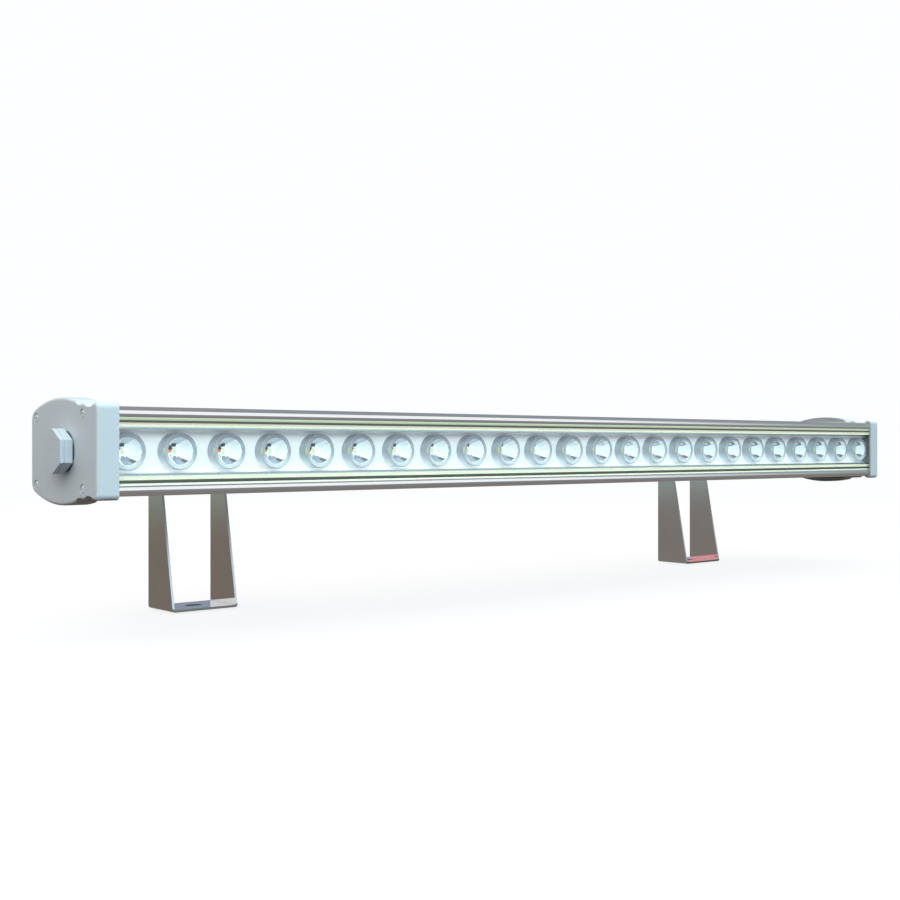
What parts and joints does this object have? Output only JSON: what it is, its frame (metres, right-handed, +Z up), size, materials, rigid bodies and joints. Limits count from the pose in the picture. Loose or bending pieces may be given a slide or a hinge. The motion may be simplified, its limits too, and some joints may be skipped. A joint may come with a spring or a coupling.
{
  "type": "outdoor wall washer light",
  "caption": "Slim outdoor wall washer light: extruded aluminium bar with a glass front over lensed lamps, cast end caps, and polished folded brackets that let it tilt.",
  "frame": {"origin": "midway between the two foot slots, on the underside of the mounting brackets", "axes": "+X along the bar from the blanking plug to the cable gland, +Y away from the lit side, +Z up from the surface that the brackets stand on"},
  "size_m": [1.0369, 0.1806, 0.176],
  "materials": {
    "anodised_bar": "satin anodised",
    "cast_cap": "cast, silver coated",
    "black_rubber": "matt",
    "screw_steel": "bright stainless",
    "plated_entry": "satin plated",
    "clear_glass": "polished",
    "cream_bedding": "matt",
    "white_panel": "gloss white",
    "white_board": "white solder mask",
    "phosphor": "satin",
    "grey_holder": "satin translucent",
    "clear_lens": "polished",
    "driver_sheet": "matt",
    "white_block": "matt",
    "hinge_steel": "brushed stainless",
    "polished_steel": "mirror polished stainless",
    "bolt_steel": "stainless",
    "black_nylon": "matt"
  },
  "bodies": {
    "near_bracket": {"near_mounting_bracket": "polished_steel", "near_pivot_bolts": "bolt_steel", "near_pivot_washers": "bolt_steel", "near_friction_washers": "black_nylon", "near_pivot_nuts": "bolt_steel"},
    "lamp": {"housing": "anodised_bar", "near_end_cap": "cast_cap", "far_end_cap": "cast_cap", "near_cap_gasket": "black_rubber", "far_cap_gasket": "black_rubber", "near_cap_screws": "screw_steel", "far_cap_screws": "screw_steel", "blanking_plug": "plated_entry", "blanking_plug_seal": "black_rubber", "blanking_plug_locknut": "plated_entry", "cable_gland_body": "plated_entry", "cable_gland_washer": "black_rubber", "cable_gland_locknut": "plated_entry", "cable_gland_seal": "black_rubber", "cable_gland_nut": "plated_entry", "front_glass": "clear_glass", "glass_seals": "black_rubber", "glass_bedding": "cream_bedding", "reflector_panel": "white_panel", "light_board": "white_board", "light_emitters": "phosphor", "lens_holders": "grey_holder", "lenses": "clear_lens", "board_screws": "screw_steel", "driver_case": "driver_sheet", "terminal_block": "white_block", "near_hinge_bracket": "hinge_steel", "far_hinge_bracket": "hinge_steel", "near_slot_nuts": "bolt_steel", "far_slot_nuts": "bolt_steel", "near_hinge_screws": "bolt_steel", "far_hinge_screws": "bolt_steel"},
    "far_bracket": {"far_mounting_bracket": "polished_steel", "far_pivot_bolts": "bolt_steel", "far_pivot_washers": "bolt_steel", "far_friction_washers": "black_nylon", "far_pivot_nuts": "bolt_steel"}
  },
  "joints": [
    {"name": "lamp_tilt", "type": "hinge", "parent": "near_bracket", "child": "lamp", "pos_m": [-0.3385, 0.0135, 0.1365], "axis": [-1, 0, 0], "range_deg": [-35, 145]},
    {"name": "far_bracket_tilt", "type": "hinge", "parent": "lamp", "child": "far_bracket", "pos_m": [0.3385, 0.0135, 0.1365], "axis": [-1, 0, 0], "range_deg": [-145, 35]}
  ],
  "couplings": [
    {"joint": "far_bracket_tilt", "follows": "lamp_tilt", "ratio": -1}
  ]
}
